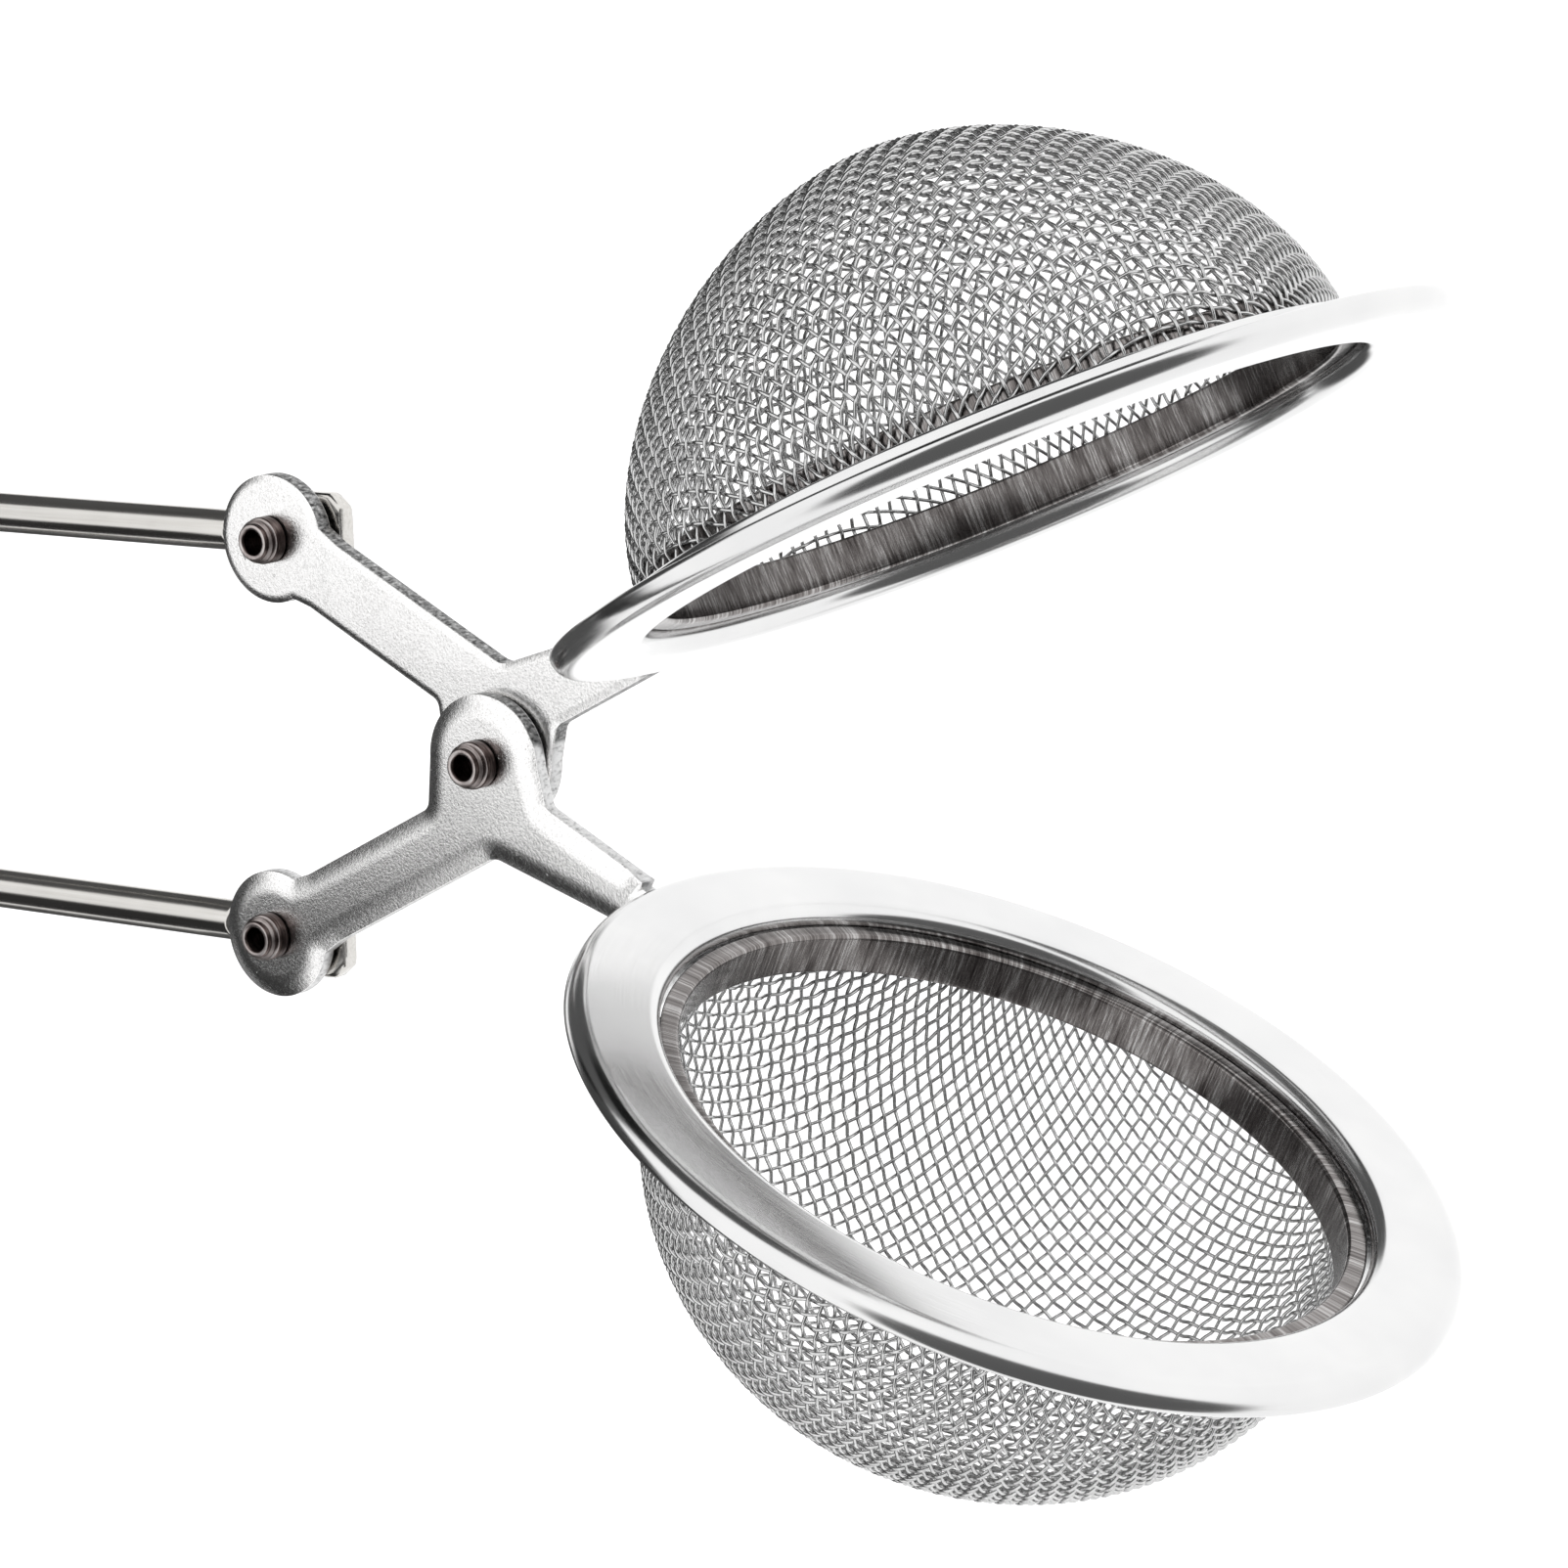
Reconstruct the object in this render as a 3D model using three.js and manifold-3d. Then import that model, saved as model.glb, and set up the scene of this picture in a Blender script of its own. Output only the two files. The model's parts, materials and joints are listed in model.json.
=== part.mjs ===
// Squeeze-handle mesh-ball tea infuser, shown with its two bowls open.
// Millimetres. +X runs from the handle's bow to the bowls, +Z is up and Y is the axis of every
// pivot. The origin is the crown of the handle's bow. The front, with the rivet heads, is -Y.
import * as THREE from 'three';
import { mergeVertices } from 'three/addons/utils/BufferGeometryUtils.js';
import Module from 'manifold-3d';

const wasm = await Module();
wasm.setup();

// handle: one spring wire bent into a U, its ends flattened into drilled paddles
const WIRE_R = 1.38;
const BOW_R = 13.15;
const EYE_X = 80;
const BOW_SPLIT = 0.2;
const PADDLE_T = 1.4;
const PADDLE_HALF = 3.0;
const FLAT_FROM = 7.6;
const FLAT_TO = 4.9;
const PADDLE_END = 4.7;

// stamped link plates: eye, ear around the centre pivot, arm to the rim
const PLATE_T = 1.4;
const PLATE_GAP = 0.3;
const LOWER_FRONT_Y = -2.9;
const EYE_BACK = 18.5;
const EYE_R = 4.25;
const EAR_R = 4.4;
const ARM_ANGLE = 27;
const ARM_HALF = 2.45;
const PIVOT_X = EYE_X + EYE_BACK;
const OPEN_ANGLE = 25;

// rims, clamp rings and woven bowls, all about an axis this far from the centre pivot
const RIM_AXIS = 43.4;
const RIM_R = 28.7;
const RIM_FACE = 0.2;
const SHEET_T = 0.6;
const ROLL_R = 1.2;
const LIP_DEPTH = 1.7;
const COLLAR_IN = 22.8;
const COLLAR_OUT = 23.3;
const COLLAR_DEPTH = 3.0;
const BEND_R = 1.0;
const CLAMP_IN = 21.4;
const CLAMP_OUT = 21.85;
const CLAMP_TOP = 1.45;
const CLAMP_DEPTH = 4.2;
const MESH_IN = 22.05;
const MESH_OUT = 22.65;
const MESH_TOP = 1.95;
const DOME_FROM = 2.6;
const MESH_T = MESH_OUT - MESH_IN;
// each bowl was pressed a little differently: height above the skirt, and how square its curve is
const DOMES = {
  lower: { height: 21.0, squareness: 2.05 },
  upper: { height: 20.3, squareness: 1.78 },
};

// hollow rivets and their rear washers
const SHANK_R = 1.2;
const HOLE_R = 1.35;
const OPEN_HOLE_R = 2.2;
const RIVET_R = 1.55;
const RIVET_PROUD = 1.65;
const RIVET_BORE = 0.8;
const RIVET_BORE_DEPTH = 3.2;
const SEAT = 0.15;
const WASHER_T = 0.5;
const EYE_WASHER_R = 2.7;
const CENTRE_WASHER_R = 3.4;
const TAIL_R = 1.9;
const TAIL_H = 0.8;

const ROUND = 60;
const SMALL_ROUND = 24;
const WIRE_ROUND = 20;

const STEEL = { color: 0xc4c5c7, roughness: 0.26, metalness: 1.0 };
const RIM_STEEL = { color: 0xd6d7d9, roughness: 0.2, metalness: 1.0 };
const CLAMP_STEEL = { color: 0x8e9094, roughness: 0.32, metalness: 1.0 };
const WOVEN_STEEL = { color: 0xa5a7aa, roughness: 0.4, metalness: 0.95 };
const RIVET_METAL = { color: 0x86726a, roughness: 0.38, metalness: 0.95 };

const group = new THREE.Group();
group.name = 'tea_infuser';

const rad = THREE.MathUtils.degToRad;

function signedVolume(geometry) {
  const p = geometry.attributes.position;
  const index = geometry.index;
  const a = new THREE.Vector3();
  const b = new THREE.Vector3();
  const c = new THREE.Vector3();
  let sum = 0;
  for (let i = 0; i < index.count; i += 3) {
    a.fromBufferAttribute(p, index.getX(i));
    b.fromBufferAttribute(p, index.getX(i + 1));
    c.fromBufferAttribute(p, index.getX(i + 2));
    sum += a.dot(b.cross(c)) / 6;
  }
  return sum;
}

// Shared vertices, positions only, faces turned outward.
function welded(geometry) {
  const bare = new THREE.BufferGeometry();
  bare.setAttribute('position', geometry.attributes.position.clone());
  if (geometry.index) bare.setIndex(geometry.index.clone());
  const out = mergeVertices(bare, 1e-4);
  if (signedVolume(out) < 0) {
    const index = out.index;
    for (let i = 0; i < index.count; i += 3) {
      const first = index.getX(i);
      index.setX(i, index.getX(i + 1));
      index.setX(i + 1, first);
    }
  }
  return out;
}

function toSolid(geometry) {
  const g = welded(geometry);
  const vertProperties = new Float32Array(g.attributes.position.array);
  const triVerts = new Uint32Array(g.index.array);
  return new wasm.Manifold(new wasm.Mesh({ numProp: 3, vertProperties, triVerts }));
}

function fromSolid(solid) {
  const mesh = solid.getMesh();
  const g = new THREE.BufferGeometry();
  g.setAttribute('position', new THREE.BufferAttribute(new Float32Array(mesh.vertProperties), 3));
  g.setIndex(new THREE.BufferAttribute(new Uint32Array(mesh.triVerts), 1));
  return g;
}

function cut(geometry, tools) {
  let solid = toSolid(geometry);
  for (const tool of tools) solid = solid.subtract(toSolid(tool));
  return fromSolid(solid);
}

function add(name, geometry, look) {
  const shown = welded(geometry).toNonIndexed();
  shown.computeVertexNormals();
  const mesh = new THREE.Mesh(shown, new THREE.MeshStandardMaterial(look));
  mesh.name = name;
  group.add(mesh);
}

// [radius, height] pairs turned about Z.
function turned(profile, segments) {
  const points = profile.map(([r, h]) => new THREE.Vector2(r, h));
  const lathe = new THREE.LatheGeometry(points, segments);
  lathe.rotateX(Math.PI / 2);
  return lathe;
}

// [radius, y] pairs turned about Y at x, z.
function pinned(profile, x, z) {
  const points = profile.map(([r, y]) => new THREE.Vector2(r, y));
  const lathe = new THREE.LatheGeometry(points, SMALL_ROUND);
  lathe.translate(x, 0, z);
  return lathe;
}

function arc(cx, cy, r, from, to, steps) {
  const points = [];
  for (let i = 0; i <= steps; i += 1) {
    const a = rad(from + ((to - from) * i) / steps);
    points.push([cx + r * Math.cos(a), cy + r * Math.sin(a)]);
  }
  return points;
}

// Rounds each corner that carries a radius, as [x, z, radius].
function rounded(corners) {
  const out = [];
  corners.forEach((corner, i) => {
    const [x, z, r] = corner;
    if (!r) {
      out.push([x, z]);
      return;
    }
    const before = corners[(i + corners.length - 1) % corners.length];
    const after = corners[(i + 1) % corners.length];
    const here = new THREE.Vector2(x, z);
    const d0 = new THREE.Vector2(before[0], before[1]).sub(here).normalize();
    const d1 = new THREE.Vector2(after[0], after[1]).sub(here).normalize();
    const half = Math.acos(THREE.MathUtils.clamp(d0.dot(d1), -1, 1)) / 2;
    const reach = r / Math.tan(half);
    const p0 = here.clone().addScaledVector(d0, reach);
    const p1 = here.clone().addScaledVector(d1, reach);
    for (let k = 0; k <= 5; k += 1) {
      const t = k / 5;
      const q = p0.clone().multiplyScalar((1 - t) * (1 - t));
      q.addScaledVector(here, 2 * t * (1 - t));
      q.addScaledVector(p1, t * t);
      out.push([q.x, q.y]);
    }
  });
  return out;
}

// A closed tube through rings of equal point counts, with flat end caps.
function skinned(rings) {
  const n = rings[0].length;
  const positions = [];
  const index = [];
  for (const ring of rings) for (const p of ring) positions.push(p.x, p.y, p.z);
  for (let i = 0; i + 1 < rings.length; i += 1) {
    for (let k = 0; k < n; k += 1) {
      const a = i * n + k;
      const b = i * n + ((k + 1) % n);
      index.push(a, b, a + n, b, b + n, a + n);
    }
  }
  const last = (rings.length - 1) * n;
  for (let k = 1; k + 1 < n; k += 1) {
    index.push(0, k + 1, k);
    index.push(last, last + k, last + k + 1);
  }
  const g = new THREE.BufferGeometry();
  g.setAttribute('position', new THREE.Float32BufferAttribute(positions, 3));
  g.setIndex(index);
  return g;
}

function rod(radius, x, z, y0, y1) {
  const g = new THREE.CylinderGeometry(radius, radius, y1 - y0, SMALL_ROUND);
  g.translate(x, (y0 + y1) / 2, z);
  return g;
}

// Where each layer of the linkage stands in Y. side is 1 for the upper half, -1 for the lower.
function plateFront(side) {
  return side < 0 ? LOWER_FRONT_Y : LOWER_FRONT_Y + PLATE_T + PLATE_GAP;
}

function paddleMid(side) {
  return plateFront(side) + PLATE_T + PLATE_GAP + PADDLE_T / 2;
}

const BOW_Y = (paddleMid(1) + paddleMid(-1)) / 2;
const BOW_LEAN = (paddleMid(1) - paddleMid(-1)) / 2;

// The half of the spring wire on one side of the bow's crown.
function springArm(side) {
  const stations = [];
  const bowSteps = 16;
  const first = BOW_SPLIT / BOW_R;
  for (let i = 0; i <= bowSteps; i += 1) {
    const a = first + ((Math.PI / 2 - first) * i) / bowSteps;
    const z = side * BOW_R * Math.sin(a);
    stations.push({
      at: new THREE.Vector3(BOW_R * (1 - Math.cos(a)), BOW_Y + side * BOW_LEAN * Math.sin(a), z),
      along: new THREE.Vector3(Math.sin(a), (side * BOW_LEAN * Math.cos(a)) / BOW_R, side * Math.cos(a)),
      flat: 0,
      half: WIRE_R,
    });
  }
  const rodStops = [30, 50, EYE_X - FLAT_FROM];
  for (const x of rodStops) stations.push({ x, flat: 0, half: WIRE_R });
  for (const t of [0.3, 0.6, 0.85, 1]) {
    const x = EYE_X - FLAT_FROM + (FLAT_FROM - FLAT_TO) * t;
    stations.push({ x, flat: t, half: THREE.MathUtils.lerp(WIRE_R, 2.5, t) });
  }
  stations.push({ x: EYE_X - 3.2, flat: 1, half: PADDLE_HALF });
  stations.push({ x: EYE_X + PADDLE_END - 0.9, flat: 1, half: PADDLE_HALF });
  stations.push({ x: EYE_X + PADDLE_END, flat: 1, half: 2.2 });
  const rings = stations.map((s) => {
    const at = s.at ?? new THREE.Vector3(s.x, paddleMid(side), side * BOW_R);
    const along = (s.along ?? new THREE.Vector3(1, 0, 0)).clone().normalize();
    const across = new THREE.Vector3(0, 1, 0).addScaledVector(along, -along.y).normalize();
    const up = new THREE.Vector3().crossVectors(along, across);
    const power = 2 / THREE.MathUtils.lerp(2, 7, s.flat);
    const thin = THREE.MathUtils.lerp(WIRE_R, PADDLE_T / 2, s.flat);
    const ring = [];
    for (let k = 0; k < WIRE_ROUND; k += 1) {
      const a = (2 * Math.PI * (k + 0.5)) / WIRE_ROUND;
      const c = Math.sign(Math.cos(a)) * Math.abs(Math.cos(a)) ** power;
      const d = Math.sign(Math.sin(a)) * Math.abs(Math.sin(a)) ** power;
      ring.push(at.clone().addScaledVector(across, thin * c).addScaledVector(up, s.half * d));
    }
    return ring;
  });
  const drill = rod(HOLE_R, EYE_X, side * BOW_R, -8, 8);
  return cut(skinned(rings), [drill]);
}

// A point given in the closed half's own frame, swung open to where the half rests.
function swung(u, w) {
  const a = rad(OPEN_ANGLE);
  return [u * Math.cos(a) - w * Math.sin(a), u * Math.sin(a) + w * Math.cos(a)];
}

// The outline of the upper link plate about the centre pivot, in X and Z.
function linkOutline() {
  const bite = (Math.asin(ARM_HALF / EYE_R) * 180) / Math.PI;
  const a = rad(ARM_ANGLE);
  const along = [Math.cos(a), -Math.sin(a)];
  const off = [Math.sin(a) * ARM_HALF, Math.cos(a) * ARM_HALF];
  const eye = [-EYE_BACK, BOW_R];
  const reach = (x, sign) => {
    const s = (x - eye[0] - sign * off[0]) / along[0];
    return [x, eye[1] + sign * off[1] + s * along[1]];
  };
  const corners = arc(0, 0, EAR_R, 0, -180, 18);
  corners.push([...reach(-4.75, -1), 0.9]);
  const eyeArc = arc(eye[0], eye[1], EYE_R, -ARM_ANGLE - bite - 4, -360 - ARM_ANGLE + bite + 4, 26);
  corners.push(reach(-15.4, -1), ...eyeArc, reach(-12.9, 1));
  corners.push([...reach(0.6, 1), 1.4]);
  corners.push(swung(14.4, 3.9), [...swung(19.4, 3.0), 0.4], swung(19.4, 1.0));
  corners.push(swung(14.4, 1.0), swung(14.4, 0.5));
  corners.push([...swung(5.6, 0.2), 0.9]);
  return rounded(corners);
}

function linkPlate(side) {
  const outline = linkOutline();
  const shape = new THREE.Shape(outline.map(([x, z]) => new THREE.Vector2(x, side * z)));
  const g = new THREE.ExtrudeGeometry(shape, { depth: PLATE_T, bevelEnabled: false });
  g.rotateX(Math.PI / 2);
  g.translate(PIVOT_X, plateFront(side) + PLATE_T, 0);
  const centreHole = side < 0 ? HOLE_R : OPEN_HOLE_R;
  return cut(g, [
    rod(HOLE_R, EYE_X, side * BOW_R, -8, 8),
    rod(centreHole, PIVOT_X, 0, -8, 8),
  ]);
}

// Moves a shape made about the bowl's axis, dome up, to its place on one open half.
function placed(geometry, side) {
  geometry.translate(RIM_AXIS, 0, 0);
  geometry.rotateY(rad(-OPEN_ANGLE));
  geometry.scale(1, 1, side);
  geometry.translate(PIVOT_X, 0, 0);
  return geometry;
}

function rimFlange(side) {
  const bendOut = COLLAR_IN + BEND_R;
  const rollIn = RIM_R - ROLL_R;
  const under = RIM_FACE + SHEET_T;
  const sheetBend = bendOut - COLLAR_OUT;
  const profile = [
    [COLLAR_IN, COLLAR_DEPTH],
    ...arc(bendOut, RIM_FACE + BEND_R, BEND_R, 180, 270, 4),
    ...arc(rollIn, RIM_FACE + ROLL_R, ROLL_R, 270, 360, 4),
    [RIM_R, LIP_DEPTH],
    [RIM_R - SHEET_T, LIP_DEPTH],
    [RIM_R - SHEET_T, RIM_FACE + ROLL_R],
    [rollIn, under],
    [bendOut, under],
    [COLLAR_OUT, under + sheetBend],
    [COLLAR_OUT, COLLAR_DEPTH],
    [COLLAR_IN, COLLAR_DEPTH],
  ];
  const slot = new THREE.BoxGeometry(2.6, PLATE_T + 0.6, 2.2);
  slot.translate(-RIM_R + 0.6, plateFront(side) + PLATE_T / 2, under + 1.1);
  return placed(cut(turned(profile, ROUND), [slot]), side);
}

function clampRing(side) {
  const profile = [
    [CLAMP_IN, CLAMP_DEPTH],
    [CLAMP_IN, CLAMP_TOP],
    [MESH_OUT, CLAMP_TOP],
    [MESH_OUT, CLAMP_TOP + 0.35],
    [CLAMP_OUT, CLAMP_TOP + 0.35],
    [CLAMP_OUT, CLAMP_DEPTH],
    [CLAMP_IN, CLAMP_DEPTH],
  ];
  return placed(turned(profile, ROUND), side);
}

function meshBowl(side, dome) {
  const steps = 12;
  const power = 2 / dome.squareness;
  const outer = [];
  const inner = [];
  for (let i = 0; i <= steps; i += 1) {
    const a = (Math.PI / 2) * (i / steps);
    const across = i === steps ? 0 : Math.cos(a) ** power;
    const rise = Math.sin(a) ** power;
    outer.push([MESH_OUT * across, DOME_FROM + dome.height * rise]);
    inner.push([MESH_IN * across, DOME_FROM + (dome.height - MESH_T) * rise]);
  }
  const profile = [...outer.reverse(), [MESH_OUT, MESH_TOP], [MESH_IN, MESH_TOP], ...inner];
  return placed(turned(profile, ROUND), side);
}

// back is the rear face of the stack that the rivet holds.
function rivet(front, back, x, z) {
  const head = front - SEAT;
  const tip = head - RIVET_PROUD;
  const tail = back + SEAT + WASHER_T + SEAT;
  const profile = [
    [0, tip + RIVET_BORE_DEPTH],
    [RIVET_BORE, tip + RIVET_BORE_DEPTH],
    [RIVET_BORE, tip + 0.15],
    [RIVET_BORE + 0.15, tip],
    [RIVET_R - 0.35, tip],
    [RIVET_R - 0.12, tip + 0.25],
    [RIVET_R - 0.12, tip + 0.75],
    [RIVET_R, tip + 0.9],
    [RIVET_R, head],
    [SHANK_R, head],
    [SHANK_R, tail],
    [TAIL_R, tail],
    [TAIL_R, tail + TAIL_H * 0.5],
    [TAIL_R * 0.7, tail + TAIL_H],
    [0, tail + TAIL_H],
  ];
  return pinned(profile, x, z);
}

function washer(back, radius, x, z) {
  const y = back + SEAT;
  const profile = [
    [HOLE_R, y],
    [radius, y],
    [radius, y + WASHER_T],
    [HOLE_R, y + WASHER_T],
    [HOLE_R, y],
  ];
  return pinned(profile, x, z);
}

for (const [half, side] of [['lower', -1], ['upper', 1]]) {
  const paddleBack = paddleMid(side) + PADDLE_T / 2;
  const eyeZ = side * BOW_R;
  add(`${half}_spring_arm`, springArm(side), STEEL);
  add(`${half}_eye_rivet`, rivet(plateFront(side), paddleBack, EYE_X, eyeZ), RIVET_METAL);
  add(`${half}_eye_washer`, washer(paddleBack, EYE_WASHER_R, EYE_X, eyeZ), STEEL);
  add(`${half}_link_plate`, linkPlate(side), STEEL);
  add(`${half}_rim_flange`, rimFlange(side), RIM_STEEL);
  add(`${half}_clamp_ring`, clampRing(side), CLAMP_STEEL);
  add(`${half}_mesh_bowl`, meshBowl(side, DOMES[half]), WOVEN_STEEL);
}

const stackBack = plateFront(1) + PLATE_T;
add('centre_rivet', rivet(plateFront(-1), stackBack, PIVOT_X, 0), RIVET_METAL);
add('centre_washer', washer(stackBack, CENTRE_WASHER_R, PIVOT_X, 0), STEEL);

export default group;
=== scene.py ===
"""Looks for the squeeze-handle tea infuser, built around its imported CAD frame. Metres, +Z up."""

import json
import math
from itertools import product

import bmesh
import bpy
import numpy as np
from mathutils import Matrix, Vector
from mathutils.geometry import tessellate_polygon


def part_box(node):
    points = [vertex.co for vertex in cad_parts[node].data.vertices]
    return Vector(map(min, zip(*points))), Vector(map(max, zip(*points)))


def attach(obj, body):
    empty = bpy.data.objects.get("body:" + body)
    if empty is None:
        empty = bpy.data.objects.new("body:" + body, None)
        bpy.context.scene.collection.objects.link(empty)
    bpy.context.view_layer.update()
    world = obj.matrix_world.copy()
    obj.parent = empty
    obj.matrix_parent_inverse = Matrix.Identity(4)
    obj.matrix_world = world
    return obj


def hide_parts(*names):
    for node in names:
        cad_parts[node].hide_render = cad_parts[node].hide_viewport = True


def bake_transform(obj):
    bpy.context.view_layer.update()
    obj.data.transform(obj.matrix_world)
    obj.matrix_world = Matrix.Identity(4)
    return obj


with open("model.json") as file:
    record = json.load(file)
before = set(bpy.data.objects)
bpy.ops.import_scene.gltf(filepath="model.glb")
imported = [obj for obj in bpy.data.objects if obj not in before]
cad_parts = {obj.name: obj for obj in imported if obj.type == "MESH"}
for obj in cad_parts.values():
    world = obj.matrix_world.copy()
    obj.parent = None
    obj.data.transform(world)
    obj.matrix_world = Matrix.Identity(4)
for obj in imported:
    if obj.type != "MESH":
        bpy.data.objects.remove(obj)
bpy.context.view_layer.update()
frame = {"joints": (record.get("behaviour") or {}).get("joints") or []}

MM = 0.001

# ---------------------------------------------------------------- places read from the frame
joint_at = {j["name"]: Vector(j["pos_m"]) for j in frame["joints"]}
EYE_X = joint_at["upper_jaw_pivot"].x
BOW_R = joint_at["upper_jaw_pivot"].z
PIVOT_X = sum(corner.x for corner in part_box("centre_rivet")) / 2
EYE_BACK = PIVOT_X - EYE_X
RIM_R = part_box("lower_rim_flange")[1].y
MESH_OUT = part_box("lower_mesh_bowl")[1].y
CLAMP_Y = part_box("lower_clamp_ring")[1].y
PLATE_FRONT = {side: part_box(f"{half}_link_plate")[0].y for half, side in (("lower", -1), ("upper", 1))}
PLATE_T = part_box("lower_link_plate")[1].y - PLATE_FRONT[-1]

# ---------------------------------------------------------------- sizes that the frame's boxes don't give
WIRE_R = 1.36 * MM
PADDLE_T = 1.4 * MM
PADDLE_HALF = 2.98 * MM
# how much of its thickness a paddle keeps at its very end
PADDLE_END = 0.86
# how far before the eye the wire starts and ends getting flatter, and then wider, into its paddle
THIN_FROM = 5.3 * MM
THIN_TO = 4.4 * MM
WIDE_FROM = 4.8 * MM
WIDE_TO = 2.8 * MM
LAYER_GAP = 0.3 * MM

EYE_R = 4.25 * MM
EAR_R = 4.4 * MM
ARM_ANGLE = math.radians(27)
ARM_HALF = 2.45 * MM
OPEN_ANGLE = math.radians(25)
HOLE_R = 1.35 * MM
OPEN_HOLE_R = 2.2 * MM
# the punch rounds the front of a plate over softly and leaves its back nearly square
FRONT_ROLL = {-1: (1.6 * MM, 0.34 * MM), 1: (0.6 * MM, 0.10 * MM)}
BACK_ROLL = (0.3 * MM, 0.04 * MM)
EDGE_BREAK = 0.07 * MM
HOLE_CHAMFER = 0.1 * MM

RIM_AXIS = 43.4 * MM
RIM_FACE = 0.2 * MM
SHEET_T = 0.6 * MM
ROLL_R = 1.2 * MM
LIP_DEPTH = 1.7 * MM
COLLAR_IN = 22.8 * MM
COLLAR_T = 0.5 * MM
COLLAR_DEPTH = 3.0 * MM
BEND_R = 1.0 * MM
CLAMP_IN = 21.4 * MM
CLAMP_T = 0.45 * MM
CLAMP_TOP = 1.45 * MM
CLAMP_DEPTH = 4.2 * MM

CLOTH_WIRE_R = 0.12 * MM
CLOTH_PITCH = 0.95 * MM
# how far each bowl's cloth is turned on its axis
CLOTH_TURN = {-1: math.radians(-8.5), 1: math.radians(-25)}
CLOTH_END = 2.0 * MM
DOME_FROM = 2.6 * MM
# each bowl's height above its skirt, and how square its curve is
DOMES = {-1: (21.0 * MM, 2.05), 1: (20.3 * MM, 1.78)}

SHANK_R = 1.2 * MM
RIVET_R = 1.55 * MM
RIVET_BORE = 0.8 * MM
RIVET_BORE_DEPTH = 3.2 * MM
SEAT = 0.15 * MM
WASHER_T = 0.5 * MM
TAIL_R = 1.9 * MM
TAIL_H = 0.8 * MM

RIM_SEGMENTS = 256
RIVET_SEGMENTS = 72
WIRE_SIDES = 40


# ---------------------------------------------------------------- node helpers
def new_material(name):
    """A new metal, with its node tree and its shader."""
    made = bpy.data.materials.new(name)
    made.use_nodes = True
    shader = made.node_tree.nodes["Principled BSDF"]
    shader.inputs["Metallic"].default_value = 1.0
    return made, made.node_tree, shader


def put(tree, kind, **inputs):
    """A node with its inputs set or linked by name."""
    node = tree.nodes.new(kind)
    for key, value in inputs.items():
        socket = node.inputs[int(key[1:])] if key[0] == "_" else node.inputs[key.replace("_", " ")]
        if isinstance(value, bpy.types.NodeSocket):
            tree.links.new(value, socket)
        else:
            socket.default_value = value
    return node


def math_node(tree, operation, *values):
    """The result of one operation on numbers or linked values."""
    node = tree.nodes.new("ShaderNodeMath")
    node.operation = operation
    for i, value in enumerate(values):
        if isinstance(value, bpy.types.NodeSocket):
            tree.links.new(value, node.inputs[i])
        else:
            node.inputs[i].default_value = value
    return node.outputs[0]


def share_of(tree, share, one, other):
    """One field's share plus the rest of another."""
    return math_node(tree, "ADD", math_node(tree, "MULTIPLY", one, share),
                     math_node(tree, "MULTIPLY", other, 1 - share))


def colour_mix(tree, share, one, other):
    """One colour where share is zero, the other where it is one."""
    node = put(tree, "ShaderNodeMix", Factor=share)
    node.data_type = "RGBA"
    tree.links.new(one, node.inputs[6])
    tree.links.new(other, node.inputs[7])
    return node.outputs[2]


def place_vector(tree):
    return tree.nodes.new("ShaderNodeTexCoord").outputs["Object"]


def stretched(tree, vector, scale, turn=(0, 0, 0)):
    """Coordinates turned, then scaled by a different amount each way."""
    node = put(tree, "ShaderNodeMapping", Vector=vector, Rotation=turn, Scale=scale)
    return node.outputs[0]


def noise(tree, vector, scale, detail=3.0, roughness=0.55):
    node = put(tree, "ShaderNodeTexNoise", Vector=vector, Scale=scale, Detail=detail, Roughness=roughness)
    return node.outputs["Fac"]


def spread(tree, value, low, high, to_low=0.0, to_high=1.0, kind="LINEAR"):
    """value from low..high mapped to to_low..to_high, and held at the ends."""
    node = put(tree, "ShaderNodeMapRange", Value=value)
    node.interpolation_type = kind
    for key, number in (("From Min", low), ("From Max", high), ("To Min", to_low), ("To Max", to_high)):
        node.inputs[key].default_value = number
    return node.outputs[0]


def ramp(tree, value, stops):
    """A colour ramp through (position, grey or colour) stops."""
    node = put(tree, "ShaderNodeValToRGB", Fac=value)
    elements = node.color_ramp.elements
    while len(elements) < len(stops):
        elements.new(0.5)
    for element, (position, colour) in zip(elements, stops):
        element.position = position
        rgb = (colour,) * 3 if isinstance(colour, float) else colour
        element.color = (*rgb, 1.0)
    return node.outputs[0]


def bump(tree, height, depth, normal=None):
    node = put(tree, "ShaderNodeBump", Height=height, Strength=1.0, Distance=depth)
    if normal is not None:
        tree.links.new(normal, node.inputs["Normal"])
    return node.outputs[0]


def polar(tree, side):
    """Coordinates about one bowl's axis: radius, angle round it and depth."""
    at = Vector((PIVOT_X, 0, 0)) + turn_open(side) @ Vector((RIM_AXIS, 0, 0))
    subtract = tree.nodes.new("ShaderNodeVectorMath")
    subtract.operation = "SUBTRACT"
    tree.links.new(place_vector(tree), subtract.inputs[0])
    subtract.inputs[1].default_value = at
    own = put(tree, "ShaderNodeMapping", Vector=subtract.outputs[0])
    own.inputs["Rotation"].default_value = (0, side * OPEN_ANGLE, 0)
    xyz = put(tree, "ShaderNodeSeparateXYZ", Vector=own.outputs[0])
    x, y, z = xyz.outputs
    square = math_node(tree, "ADD", math_node(tree, "MULTIPLY", x, x), math_node(tree, "MULTIPLY", y, y))
    radius = math_node(tree, "SQRT", square)
    way = math_node(tree, "ARCTAN2", y, x)
    return radius, way, z


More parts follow.
